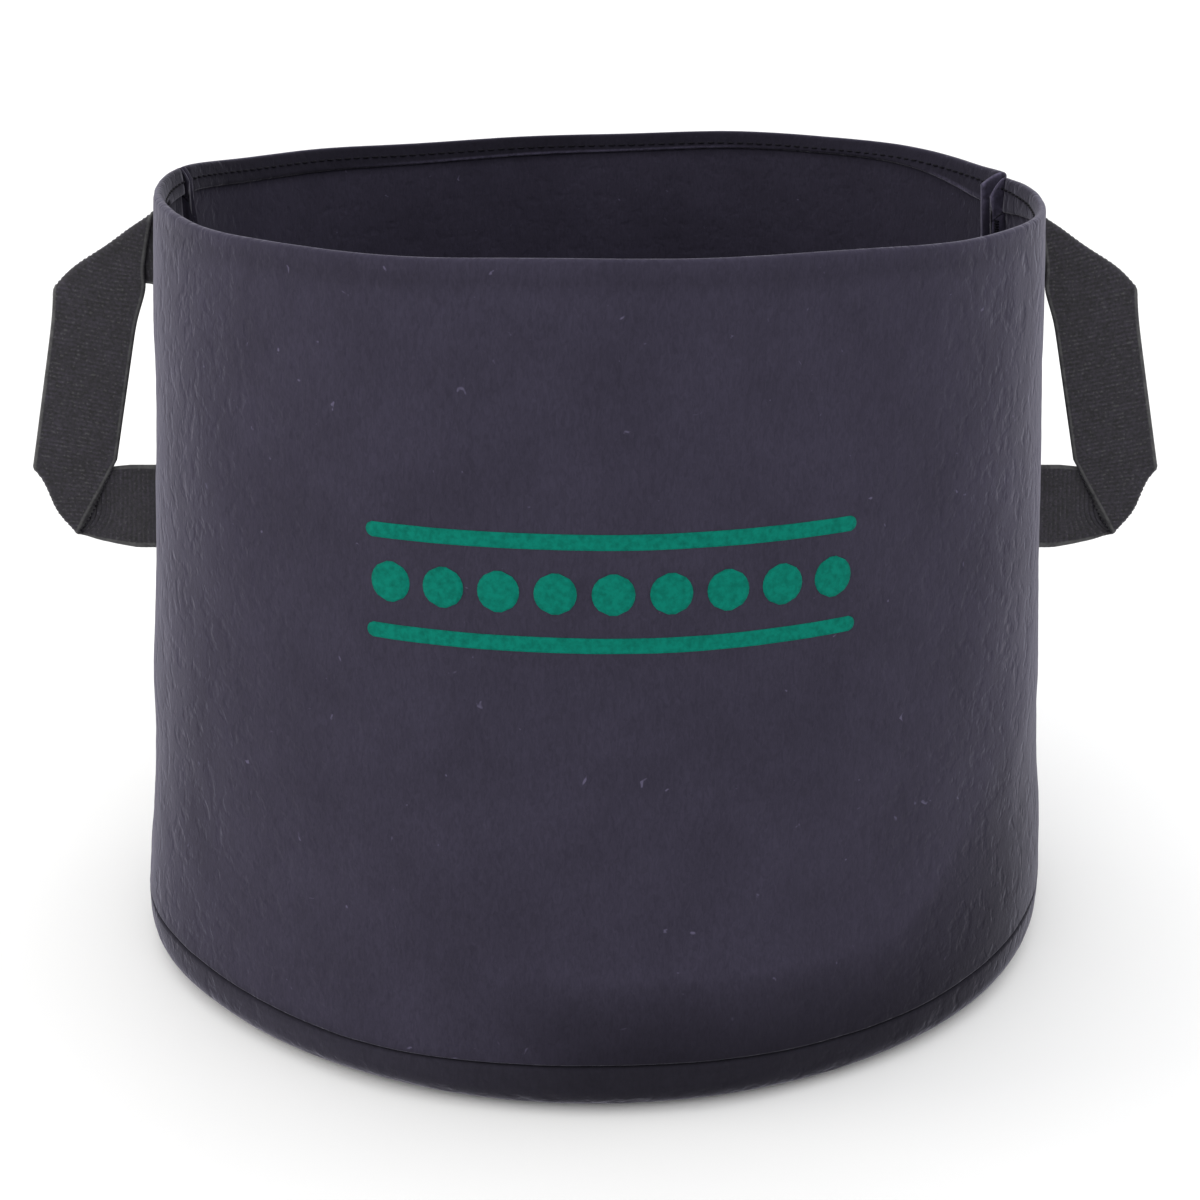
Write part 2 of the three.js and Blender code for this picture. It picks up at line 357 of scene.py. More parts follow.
def felt_material(name, colour, sheen, lint=0.35):
    """Needle-punched felt: matted fibres, soft mottling, small pits and a little pale lint.

    Of its two mesh attributes, one is 1 where a cut or folded edge is pale with fuzzy fibres, partly a
    painted highlight where the edge catches the light, and "shade" is 1 where the felt is painted darkest:
    painted shade in the seam folds, in the base seam's groove, under the rim, inside near the left seam and
    low towards the front right, and the hem's darker inner face."""
    material, nodes, links, shader = new_material(name, 0.95, sheen, 0.32, 0.1)
    plain = coordinates(nodes, links, (1, 1, 1))
    upright = coordinates(nodes, links, (1, 1, 0.35))
    dark = tuple(c * 0.9 for c in colour)
    light = tuple(c * 1.1 for c in colour)
    pale = tuple(min(1.0, c * 6) for c in colour)
    clouds = noise_node(nodes, links, plain, 38, 3, 0.55)
    tone = ramp_node(nodes, links, clouds, [(0.3, dark), (0.7, light)])
    fibres = noise_node(nodes, links, upright, 900, 5, 0.65, 1.2)
    strands = ramp_node(nodes, links, fibres, [(0.35, (0.86,) * 3), (0.65, (1.14,) * 3)])
    tone = mix_colours(nodes, links, 1.0, tone, strands, "MULTIPLY")
    specks = noise_node(nodes, links, plain, 260, 2, 0.5, 0.6)
    flecks = ramp_node(nodes, links, specks, [(0.735, (0, 0, 0)), (0.79, (lint,) * 3)])
    tone = mix_colours(nodes, links, flecks, tone, pale)
    # pale fuzzy fibres on cut and folded edges, partly a painted highlight where they catch the light
    fuzz_and_highlight = nodes.new("ShaderNodeAttribute")
    fuzz_and_highlight.attribute_name = "fuzz_and_highlight"
    tufts = noise_node(nodes, links, plain, 700, 3, 0.6)
    broken = ramp_node(nodes, links, tufts, [(0.38, (0.35,) * 3), (0.62, (1, 1, 1))])
    pale_fuzz_and_highlight = multiply(nodes, links, fuzz_and_highlight.outputs["Fac"], broken)
    tone = mix_colours(nodes, links, pale_fuzz_and_highlight, tone, pale)
    # darkening from the "shade" attribute: painted shade, and the hem's darker inner face
    shade = nodes.new("ShaderNodeAttribute")
    shade.attribute_name = "shade"
    darkest = mix_colours(nodes, links, 1.0, tone, (0.34, 0.34, 0.34), "MULTIPLY")
    tone = mix_colours(nodes, links, shade.outputs["Fac"], tone, darkest)
    links.new(tone, shader.inputs["Base Color"])
    pits = noise_node(nodes, links, plain, 190, 2, 0.45, 0.2)
    hollows = ramp_node(nodes, links, pits, [(0.25, (0, 0, 0)), (0.5, (1, 1, 1))])
    coarse = noise_node(nodes, links, plain, 420, 4, 0.6)
    normal = bump_node(nodes, links, hollows, 0.4, 0.0007)
    normal = bump_node(nodes, links, coarse, 0.35, 0.0005, normal)
    normal = bump_node(nodes, links, fibres, 0.2, 0.0003, normal)
    links.new(normal, shader.inputs["Normal"])
    return material


def webbing_material(name, colour):
    """Ribbed polypropylene webbing: painted highlights on the rib tops, yarns, small painted highlights of
    glinting filaments and worn pale selvages.

    The UV map runs across the webbing in U and along it in V, both in webbing widths."""
    material, nodes, links, shader = new_material(name, 0.6, 0.1, 0.4, 0.35)
    plain = coordinates(nodes, links, (1, 1, 1))
    source = nodes.new("ShaderNodeTexCoord")
    split = nodes.new("ShaderNodeSeparateXYZ")
    links.new(source.outputs["UV"], split.inputs["Vector"])
    dark = tuple(c * 0.4 for c in colour)
    light = tuple(c * 1.65 for c in colour)
    pale = (max(colour) * 5,) * 3
    ribs = sine_waves(nodes, links, split.outputs["Y"], WEBBING_WIDTH / RIB_PITCH)
    yarn = noise_node(nodes, links, plain, 900, 3, 0.6)
    tone = ramp_node(nodes, links, yarn, [(0.35, dark), (0.65, light)])
    # painted highlights: the rib tops are lighter, as where they catch the light
    painted_crest_highlights = ramp_node(nodes, links, ribs, [(0.1, (0.65,) * 3), (0.95, (1.6,) * 3)])
    patches = noise_node(nodes, links, plain, 260, 3, 0.6)
    uneven = ramp_node(nodes, links, patches, [(0.35, (0, 0, 0)), (0.65, (1, 1, 1))])
    ribbed = mix_colours(nodes, links, 1.0, tone, painted_crest_highlights, "MULTIPLY")
    tone = mix_colours(nodes, links, uneven, tone, ribbed)
    clouds = noise_node(nodes, links, plain, 160, 3, 0.5)
    mottle = ramp_node(nodes, links, clouds, [(0.3, (0.75,) * 3), (0.7, (1.25,) * 3)])
    tone = mix_colours(nodes, links, 1.0, tone, mottle, "MULTIPLY")
    # painted highlights: small glinting points on the rib tops
    glint_highlight_noise = noise_node(nodes, links, plain, 1100, 2, 0.5)
    glint_highlights = ramp_node(nodes, links, glint_highlight_noise, [(0.56, (0, 0, 0)), (0.68, (0.5,) * 3)])
    tone = mix_colours(nodes, links, multiply(nodes, links, glint_highlights, ribs), tone, pale)
    edges = ramp_node(
        nodes,
        links,
        split.outputs["X"],
        [(0.038, (0.8,) * 3), (0.052, (0, 0, 0)), (0.948, (0, 0, 0)), (0.962, (0.8,) * 3)],
    )
    worn = ramp_node(nodes, links, patches, [(0.35, (0.35,) * 3), (0.6, (1, 1, 1))])
    tone = mix_colours(nodes, links, multiply(nodes, links, edges, worn), tone, pale)
    links.new(tone, shader.inputs["Base Color"])
    normal = bump_node(nodes, links, ribs, 0.5, 0.0003)
    normal = bump_node(nodes, links, yarn, 0.5, 0.0002, normal)
    links.new(normal, shader.inputs["Normal"])
    return material


def thread_material(name, colour):
    """Twisted polyester sewing thread."""
    material, nodes, links, shader = new_material(name, 0.7, 0.0, 0.4, 0.1)
    plain = coordinates(nodes, links, (1, 1, 1))
    twist = noise_node(nodes, links, plain, 2400, 2, 0.5)
    dark = tuple(c * 0.7 for c in colour)
    light = tuple(c * 1.4 for c in colour)
    links.new(ramp_node(nodes, links, twist, [(0.35, dark), (0.65, light)]), shader.inputs["Base Color"])
    links.new(bump_node(nodes, links, twist, 0.4, 0.0001), shader.inputs["Normal"])
    return material


def ink_material(name, colour):
    """Screen-print ink: it takes on some of the felt's roughness and its coverage is a little uneven."""
    material, nodes, links, shader = new_material(name, 0.8, 0.0, 0.5, 0.04)
    plain = coordinates(nodes, links, (1, 1, 1))
    cover = noise_node(nodes, links, plain, 500, 4, 0.65)
    dark = tuple(c * 0.72 for c in colour)
    light = tuple(c * 1.12 for c in colour)
    links.new(ramp_node(nodes, links, cover, [(0.3, dark), (0.6, light)]), shader.inputs["Base Color"])
    links.new(bump_node(nodes, links, cover, 0.4, 0.0003), shader.inputs["Normal"])
    return material


def floor_material():
    material, nodes, links, shader = new_material("pale_floor", 0.6, 0.0, 0.5, 0.2)
    plain = coordinates(nodes, links, (1, 1, 1))
    grain = noise_node(nodes, links, plain, 3, 2, 0.5)
    tone = ramp_node(nodes, links, grain, [(0, (0.96,) * 3), (1, (0.98,) * 3)])
    links.new(tone, shader.inputs["Base Color"])
    return material


WALL_FELT = felt_material("wall_felt", (0.0295, 0.0262, 0.0425), 0.29)
BASE_FELT = felt_material("base_felt", (0.0295, 0.027, 0.0405), 0.33, lint=0.2)
WEBBING = webbing_material("webbing", (0.0115, 0.0097, 0.0155))
THREAD_BLACK = thread_material("thread", (0.007, 0.0063, 0.0098))
INK = ink_material("printed_ink", (0.002, 0.135, 0.098))


# ---------------------------------------------------------------- felt panels
HEM_PRESSED = 0.6  # thickness of the turned-in felt of the hem, pressed by its stitching, in felts
SEWN_LUMPS = 0.08  # how lumpy the felt stays where two layers are sewn together at a seam
SEWN_GAP = 0.08 * MM  # half of the room between two layers that are sewn together
SLOT_END = 3 * MM  # height over which the room for the webbing closes above and below it
STATION_SPACING = 2.3 * MM  # between the columns of a wall panel's mesh
RIM_FUZZ_AND_HIGHLIGHT = 0.1  # how pale the crest of the rim is: fuzzy fibres, partly a painted highlight along the crest
OUTSIDE_ROWS, INSIDE_ROWS = 118, 60  # rows of a wall panel's mesh up its outside and down its inside


def hem_inset(t):
    """Depth of the hem's inner face from the wall's outer face, from the rim down to its cut edge."""
    return (1.24 + (HEM_PRESSED - 0.24) * t) * FELT


def seam_gap(z, inside=0.0):
    """Half of the room between the two panels at a seam, some way along their allowances.

    It is wider where the webbing comes out, and closes again behind the webbing's end."""
    room = np.zeros_like(z)
    for low, high in (UPPER_END, LOWER_END):
        within = np.minimum(z - low.z + SLOT_END, high.z + SLOT_END - z) / SLOT_END
        room = np.maximum(room, np.clip(within, 0, 1))
    room = room * (1 - ease((inside - 1 * MM) / (2 * MM)))
    return SEWN_GAP + room * (WEBBING_THICKNESS / 2 + 0.1 * MM)


def seam_wave(angle):
    """The base seam isn't sewn quite level: how far it rises or falls at one direction."""
    return 0.9 * MM * np.cos(6 * (angle - math.radians(210)))


@dataclass
class SeamEdge:
    """One side edge of a wall panel, where its felt bends in to make the seam's allowance."""

    angle: float
    side: int  # which way the panel lies from the seam: 1 is anticlockwise
    lip: float = 2.4 * MM  # radius of the bend
    reach: float = 8.4 * MM  # length of the allowance beyond the bend
    drop: float = 3 * MM  # how far its top corner sags
    step: float = 0.0  # how far this panel's rim stands above the other's
    pale: float = 0.0  # how pale its cut edge is: fuzzy fibres, partly a painted highlight
    shade: float = 0.8  # painted shade on the felt where the two panels' allowances lie together
    trim: float = 0.0  # share of its length by which the allowance is cut back at the rim

    def frame(self):
        along = np.array([math.cos(self.angle), math.sin(self.angle)])
        across = np.array([-math.sin(self.angle), math.cos(self.angle)]) * self.side
        return along, across

    def length_left(self, z):
        """The share of the allowance's full length that it has at a height: less at the foot and the rim."""
        at_foot = np.clip((z - 26 * MM) / (12 * MM), 0.2, 1)
        return at_foot * (1 - self.trim * ease((z - HEIGHT + 34 * MM) / (20 * MM)))

    def strip(self, amount, z):
        """Points, inward direction and fall of the allowance at a distance beyond the bend."""
        along, across = self.frame()
        radius = wall_radius(np.full_like(z, self.angle), z) - self.lip - amount * self.length_left(z)
        gap = seam_gap(z, amount)
        place = radius[:, None] * along + gap[:, None] * across
        fall = self.drop * (amount / self.reach) ** 1.5 * np.clip(z / HEIGHT, 0, 1) ** 14
        return place, np.tile(across, (len(z), 1)), fall

    def bend(self, turn, z):
        """The same, part of the way round the bend."""
        along, across = self.frame()
        way = -across * math.cos(turn) + along * math.sin(turn)
        radius = wall_radius(np.full_like(z, self.angle), z)
        centre = (radius - self.lip)[:, None] * along + (seam_gap(z) + self.lip)[:, None] * across
        return centre + self.lip * way, np.tile(-way, (len(z), 1)), np.zeros_like(z)

    def rim_step(self, angle, z):
        away = (angle - self.angle) * RIM_RADIUS / (14 * MM)
        return self.step * np.exp(-(away**2)) * np.clip(z / HEIGHT, 0, 1) ** 8


def wall_profile():
    """The folded felt, once round its section, from the foot up the outside and down the inside.

    Columns: depth from the outer face, height, how far it follows the uneven hem, and then how far
    it belongs to the rim's crest, to the hem's cut edge and to the hem's dark inner face."""
    foot = BASE_SEAM + BASE_SEAM_GAP / 2
    hem_edge = HEIGHT - HEM_DEPTH
    foot_edge = foot + ALLOWANCE
    press = 0.62 * FELT
    crest = HEIGHT - press
    corner = 0.9 * MM
    rows = [(0, z, 0, 0, 0, 0) for z in np.linspace(foot + corner, crest - 1 * MM, OUTSIDE_ROWS)]
    for a in np.linspace(0, 2.8, 9):
        shown = math.exp(-(((a - 1.2) / 0.6) ** 2))
        rows.append((press - press * math.cos(a), crest + press * math.sin(a), 0, shown, 0, a > 2.3))
    for t in np.linspace(0, 1, 7):
        rows.append((hem_inset(t), crest + (hem_edge - crest) * t, t, 0, t > 0.9, 1))
    rows.append((0.9 * hem_inset(1), hem_edge - 0.6 * MM, 1, 0, 1, 1))
    rows.append((1.12 * FELT, hem_edge - 0.5 * MM, 1, 0, 0.3, 1))
    rows.append((FELT, hem_edge - 1.5 * MM, 1, 0, 0, 0.3))
    for t in np.linspace(0, 1, INSIDE_ROWS):
        rows.append((FELT, hem_edge - 4 * MM + (foot_edge + 5 * MM - hem_edge) * t, (1 - t) ** 3, 0, 0, 0))
    rows.append((2 * FELT, foot_edge, 0, 0, 0, 0))
    rows.append((2 * FELT, foot + FELT, 0, 0, 0, 0))
    for a in np.linspace(0.3, math.pi / 2, 5):
        rows.append((FELT + FELT * math.cos(a), foot + FELT - FELT * math.sin(a), 0, 0, 0, 0))
    for a in np.linspace(math.pi / 2, 2.9, 4):
        rows.append((corner + corner * math.cos(a), foot + corner - corner * math.sin(a), 0, 0, 0, 0))
    return np.array(rows, float)


def wall_shade(angle, depth, heights, hem):
    """How dark each point of the wall's felt is painted, down its section at one direction: painted shade,
    and the hem's darker inner face.
    """
    outside = depth < 0.5 * FELT
    # painted shade in the groove along the base seam
    seam = 0.6 * np.exp(-np.abs(heights - BASE_SEAM) / (1.4 * MM))
    # painted shadow in a band just below the rim
    painted_shade = 0.25 * np.exp(-(((heights - HEIGHT + 6 * MM) / (3 * MM)) ** 2))
    outer = np.maximum(painted_wall_shade(angle, heights), np.maximum(seam, painted_shade))
    # painted shade on the inside faces near the left seam
    painted_left_inner_shade = 0.85 * lobe(angle, 178, 14)
    # the hem's inner face is darker, less so near the right seam
    inner = np.maximum((0.85 - 0.55 * lobe(angle, 14, 42)) * hem, painted_left_inner_shade)
    return np.where(outside, outer, inner)


def add_attribute(obj, name, values):
    attribute = obj.data.attributes.new(name, "FLOAT", "POINT")
    attribute.data.foreach_set("value", values)


def cut_edge_seen(angle):
    """How pale the hem's cut edge is, with fuzzy fibres and partly a painted highlight: at the middle of the
    back and again near the right seam.
    """
    middle = math.remainder(angle - math.radians(95), 2 * math.pi) / 0.52
    side = math.remainder(angle - math.radians(24), 2 * math.pi) / 0.12
    return max(0.85 * math.exp(-(middle**4)), math.exp(-(side**2)))


def panel_stations(first, last, spacing):
    """Stations along a panel seen from above, from one cut edge round the wall to the other."""
    amounts = np.linspace(1, 0.08, 7)
    turns = np.linspace(0, math.pi / 2, 7)
    opening = [("strip", first, first.reach * t) for t in amounts] + [("bend", first, a) for a in turns]
    closing = [("bend", last, a) for a in turns[::-1]]
    closing += [("strip", last, last.reach * t) for t in amounts[::-1]]
    start = first.angle + first.lip / RIM_RADIUS
    end = last.angle - last.lip / RIM_RADIUS
    count = int((end - start) * RIM_RADIUS / spacing)
    wall = [("wall", None, a) for a in np.linspace(start, end, count + 1)[1:-1]]
    return opening + wall + closing


def outer_face(kind, edge, amount, heights):
    """A station's outer face: its points, inward direction, fall, and how free of the seam its felt is."""
    if kind == "bend":
        return *edge.bend(amount, heights), math.sin(amount)
    if kind == "strip":
        return *edge.strip(amount, heights), 0.0
    angles = np.full_like(heights, amount)
    inward = -np.column_stack([np.cos(angles), np.sin(angles)])
    return -inward * wall_radius(angles, heights)[:, None], inward, 0, 1.0


def deepest(kind, edge, angle, sides):
    """How far in from the outer face the felt can lie at a station without folding over itself."""
    if kind == "bend":
        return edge.lip * 0.93
    if kind == "strip":
        return FELT * 1.04
    room = [(side, abs(angle - side.angle) * RIM_RADIUS - side.lip) for side in sides]
    return min(0.93 * side.lip + 0.9 * max(0.0, away) for side, away in room)


def fluff_and_highlight(edge, amount, heights):
    """Pale fuzzy fibres on a seam allowance near the rim, partly a painted highlight, most of it on the cut
    edge.
    """
    share = 1.0 if amount > 0.97 * edge.reach else 0.35
    return edge.pale * share * np.clip((heights - HEIGHT + 16 * MM) / (8 * MM), 0, 1)


def wall_panel(name, node, first, last):
    """One felt panel as a closed solid: the wall, its hem, its turned-up foot and both seam allowances."""
    depth, heights, follow, rim, cut, hem = wall_profile().T
    verts, directions, fuzz_and_highlight, shade = [], [], [], []
    for kind, edge, amount in panel_stations(first, last, STATION_SPACING):
        angle = amount if kind == "wall" else edge.angle
        lowered = heights - follow * hem_drop(math.remainder(angle, 2 * math.pi))
        lowered = lowered + seam_wave(angle) * np.clip(1 - (heights - BASE_SEAM) / (40 * MM), 0, 1)
        place, inward, fall, free = outer_face(kind, edge, amount, lowered)
        steps = first.rim_step(angle, lowered) + last.rim_step(angle, lowered)
        flat = place + inward * np.minimum(depth, deepest(kind, edge, angle, (first, last)))[:, None]
        lift = limp_lift(np.full_like(heights, angle), lowered)
        verts.append(np.column_stack([flat, lowered + lift + steps - fall]))
        directions.append(np.column_stack([inward, np.zeros(len(heights))]) * max(SEWN_LUMPS, free))
        seen = cut * cut_edge_seen(angle)
        # pale fuzzy fibres, partly a painted highlight: on the rim's crest, the hem's cut edge and the
        # allowances
        crest = max(RIM_FUZZ_AND_HIGHLIGHT, edge.pale) if kind == "strip" else RIM_FUZZ_AND_HIGHLIGHT
        tip = fluff_and_highlight(edge, amount, heights) if kind == "strip" else 0.0
        fuzz_and_highlight.append(np.maximum(np.maximum(crest * rim, 0.5 * seen), tip))
        # painted shade on the allowances where the two panels lie together, fading round the bend; left off
        # the rim's crest where the cut edge is pale
        painted_shade = edge.shade * (1 - free) * (1 - rim * (edge.pale > 0)) if edge else 0.0
        shade.append(np.maximum(wall_shade(angle, depth, heights, hem * (1 - seen)), painted_shade))
    columns = len(heights)
    rows = len(verts)
    points = roughen(np.concatenate(verts), np.concatenate(directions), FELT_LUMPS)
    faces = loft_faces(rows, columns)
    faces.append(tuple(range(columns))[::-1])
    faces.append(tuple(range((rows - 1) * columns, rows * columns)))
    panel = mesh_object(name, points, faces, WALL_FELT)
    add_attribute(panel, "fuzz_and_highlight", np.concatenate(fuzz_and_highlight))
    add_attribute(panel, "shade", np.concatenate(shade))
    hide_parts(node)
    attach(panel, "bag")
    return panel


def base_profile():
    """Radius and height round the base panel's section, from near its middle out, up, in and back."""
    top = BASE_SEAM - BASE_SEAM_GAP / 2
    corner = FOOT_RADIUS - BASE_EDGE
    lip = 1.0 * MM
    behind = 2 * FELT + GAP
    allowance_top = BASE_SEAM + ALLOWANCE
    outer = [(corner * t, 0.0) for t in (0.15, 0.3, 0.45, 0.6, 0.75, 0.88, 0.96)]
    outer += [
        (corner + BASE_EDGE * math.sin(a), BASE_EDGE - BASE_EDGE * math.cos(a))
        for a in np.linspace(0, math.pi / 2, 11)
    ]
    outer.append((FOOT_RADIUS, (BASE_EDGE + top - lip) / 2))
    outer += [
        (FOOT_RADIUS - lip + lip * math.cos(a), top - lip + lip * math.sin(a))
        for a in np.linspace(0, math.pi / 2, 5)
    ]
    inner_radius = FOOT_RADIUS - behind
    step = [(inner_radius, top), (inner_radius, allowance_top), (inner_radius - FELT, allowance_top)]
    bend = BASE_EDGE - FELT
    inner_corner = inner_radius - FELT - bend
    inside = [
        (inner_corner + bend * math.sin(a), FELT + bend - bend * math.cos(a))
        for a in np.linspace(math.pi / 2, 0, 7)
    ]
    inside += [(inner_corner * t, FELT) for t in (0.96, 0.88, 0.78, 0.66, 0.54, 0.42, 0.3, 0.15)]
    return np.array(outer + step + inside).T


def base_panel():
    """The base: a flat disc of felt whose edge turns up to the seam and in behind the wall."""
    radii, heights = base_profile()
    edge = np.clip((radii - FOOT_RADIUS + BASE_EDGE + 5 * MM) / (8 * MM), 0, 1)
    # painted shade in the groove along the base seam, fading away from it
    seam = 0.6 * np.exp(-np.abs(heights - BASE_SEAM) / (3.5 * MM))
    turns = 300
    verts, upward, shade = [], [], []
    for i in range(turns):
        angle = 2 * math.pi * i / turns
        limp = limp_radius(np.full(1, angle), np.full(1, BASE_SEAM))[0]
        radius = radii * (1 + limp / FOOT_RADIUS)
        lifted = heights + seam_wave(angle) * np.clip(heights / BASE_SEAM, 0, 1) ** 2
        outward = np.array([math.cos(angle), math.sin(angle)])
        verts.append(np.column_stack([radius * outward[0], radius * outward[1], lifted]))
        rising = np.clip(heights / BASE_EDGE, 0, 1)
        flat = np.clip(heights / FELT, 0, 1) * (1 - rising)
        upward.append(np.column_stack([outward[0] * rising, outward[1] * rising, flat]))
        # painted shade: half strength over the middle, underneath and inside, and round the edge from none at
        # the back and left to most towards the front right
        painted_base_shade = 0.5 + (0.9 * painted_shade_side(angle, -100, -35) - 0.5) * edge
        shade.append(np.maximum(painted_base_shade, seam * edge))
    points = roughen(np.concatenate(verts), -np.concatenate(upward), FELT_LUMPS)
    count = len(heights)
    faces = [face[::-1] for face in loft_faces(turns, count, close_rows=True, close_columns=False)]
    middle = len(points)
    points = np.vstack([points, [0, 0, 0], [0, 0, FELT]])
    for i in range(turns):
        k = (i + 1) % turns
        faces.append((middle, k * count, i * count))
        faces.append((middle + 1, (i + 1) * count - 1, (k + 1) * count - 1))
    disc = mesh_object("base_panel_felt", points, faces, BASE_FELT)
    # the two middle points take the half-strength painted shade too
    add_attribute(disc, "shade", np.append(np.concatenate(shade), [0.5, 0.5]))
    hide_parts("base_panel")
    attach(disc, "bag")
    return disc


# ---------------------------------------------------------------- webbing handles
def fold(points, crease, along, beyond, roll):
    """Folds a strip back on itself about a crease, rolling it round a small radius.

    points are (across, up, out), with out towards the front. What lies on the beyond side goes behind."""
    along = along / np.linalg.norm(along)
    away = np.array([-along[1], along[0]])
    if away @ beyond < 0:
        away = -away
    flat = points[:, :2] - crease
    distance = flat @ away + math.pi * roll / 2
    position = flat @ along
    out = points[:, 2]
    angle = np.clip(distance / roll, 0, math.pi)
    rolled = (roll + out) * np.sin(angle) - np.maximum(distance - math.pi * roll, 0)
    depth = (roll + out) * np.cos(angle) - roll
    after = distance > 0
    travelled = np.where(after, rolled, distance) - math.pi * roll / 2
    flat = crease + position[:, None] * along + travelled[:, None] * away
    return np.column_stack([flat, np.where(after, depth, out)])


def soft_push(points, centre, reach, push):
    """Pushes the points near a centre, with a smooth falloff."""
    away = np.linalg.norm(points[:, :2] - np.array(centre), axis=1) / reach
    return points + np.exp(-away * away)[:, None] * np.array(push)


def twist_foot(points, foot, push, roll):
    """Twists the webbing at the inner end of its lower fold, the front layer more widely than the back."""
    away = np.linalg.norm(points[:, :2] - foot, axis=1)
    front = np.clip(1 - away / (34 * MM), 0, 1)
    back = np.clip(1 - away / (15 * MM), 0, 1) ** 2
    layer = ease(points[:, 2] / (2 * roll) + 1)
    share = back + (front - back) * layer
    moved = points.copy()
    moved[:, :2] += share[:, None] * np.array(push)
    moved[:, 2] += 0.9 * MM * front**2 * layer
    return moved


def strip_outline():
    """The webbing's cross-section, once round: (across, side of the strip)."""
    half = WEBBING_WIDTH / 2
    edge = WEBBING_THICKNESS / 2
    front = [(b, 1.0) for b in np.linspace(-half + edge, half - edge, 26)]
    back = [(b, -1.0) for b in np.linspace(half - edge, -half + edge, 26)]
    turn_out = [(half - edge + edge * math.cos(a), math.sin(a)) for a in np.linspace(1.1, -1.1, 4)]
    turn_in = [(-half + edge - edge * math.cos(a), math.sin(a)) for a in np.linspace(-1.1, 1.1, 4)]
    return np.array(front + turn_out + back + turn_in)


HANG = np.array([0.199, -0.980])  # the way the free run hangs: out and down
HANDLE_MIDDLE_Z = HINGES["right_handle_swing"].z
HANG_MIDDLE = np.array([HANDLE_TIP - 23.2 * MM, HANDLE_MIDDLE_Z + 3 * MM])
ROLL = 1.1 * MM  # how tightly the webbing is folded
STRIP_ABOVE, STRIP_BELOW = 75.5 * MM, 100 * MM  # lengths of webbing either way from the free run's middle
FOOT_TWIST = (9.3 * MM, 5.1 * MM)  # how far the lower fold's inner end is pushed out and up
# Where the webbing leaves its flat folds, in mm: a place measured from the tip and from the top edge of
# the strap's upper or lower end, how far round it the push reaches, and the push, out and up.
UPPER_PUSHES = [
    ((-20, -21), 13, (1.6, 1.6)),
    ((-8.5, -11), 5, (-1.5, -1.2)),
    ((-50, 0), 9, (0, -1.5)),
    ((-44, -31), 7, (-2.0, 2.2)),
]
LOWER_PUSHES = [
    ((-11, -15.5), 9, (1.9, -1.5)),
    ((-24, -28), 9, (0, -1.2)),
]


def handle_strip():
    """The right handle's webbing in the plane it stands in: (across, up, out) for every row of its mesh."""
    out_edge = np.array([-HANG[1], HANG[0]])
    upper_z, lower_z = UPPER_END[1].z, LOWER_END[1].z
    rows = np.arange(-STRIP_ABOVE, STRIP_BELOW, RIB_PITCH / 4)
    outline = strip_outline()
    across = np.tile(outline[:, 0], len(rows))
    side = np.tile(outline[:, 1], len(rows))
    along = np.repeat(rows, len(outline))
    rib = 0.5 + 0.5 * np.sin(2 * math.pi * along / RIB_PITCH)
    yarn = 0.5 + 0.5 * np.cos(2 * math.pi * across / (1.1 * MM))
    relief = (0.2 * rib + 0.06 * yarn) * MM
    out = side * (WEBBING_THICKNESS / 2 - 0.2 * MM + relief)
    flat = HANG_MIDDLE + along[:, None] * HANG + across[:, None] * out_edge
    points = np.column_stack([flat, out])
    level = np.array([-1.0, 0.0])
    upper_corner = np.array([HANDLE_TIP - 13.5 * MM, UPPER_END[0].z + 0.7 * MM])
    lower_corner = np.array([HANDLE_TIP + 0.2 * MM, lower_z])
    points = fold(points, upper_corner, level - HANG, np.array([0.0, 1.0]), ROLL)
    points = fold(points, lower_corner, level + HANG, np.array([0.0, -1.0]), ROLL)
    foot = np.array([HANDLE_TIP - 25.1 * MM, LOWER_END[0].z - 0.7 * MM])
    points = twist_foot(points, foot, FOOT_TWIST, ROLL)
    for top, pushes in ((upper_z, UPPER_PUSHES), (lower_z, LOWER_PUSHES)):
        for (out_by, up_by), reach, (push_out, push_up) in pushes:
            centre = (HANDLE_TIP + out_by * MM, top + up_by * MM)
            points = soft_push(points, centre, reach * MM, (push_out * MM, push_up * MM, 0))
    lower_middle = lower_z - WEBBING_WIDTH / 2
    near_wall = np.clip((HANDLE_TIP - 26 * MM - points[:, 0]) / (10 * MM), 0, 1)
    lower_leg = (points[:, 2] < -ROLL) & (points[:, 1] < HANDLE_MIDDLE_Z)
    points[:, 1] += 0.07 * near_wall * lower_leg * (points[:, 1] - lower_middle)
    uv = np.column_stack([across / WEBBING_WIDTH + 0.5, along / WEBBING_WIDTH])
    return points, uv, len(rows), len(outline)


def stand_handle(points, hinge, mirror):
    """Stands the strip at its hinge line, with its two ends turned into the plane of the seam."""
    layer = 2 * ROLL
    reach = points[:, 0] - hinge.x
    turn = SEAM_SETBACK * np.clip(0.5 - reach / (6 * MM), 0, 1)
    inner = np.minimum(reach, 0)
    back = -(points[:, 2] + layer)
    x = hinge.x + np.maximum(reach, 0) + inner * np.cos(turn) - back * np.sin(turn)
    y = hinge.y + inner * np.sin(turn) + back * np.cos(turn)
    return np.column_stack([x * mirror, y, points[:, 1]])


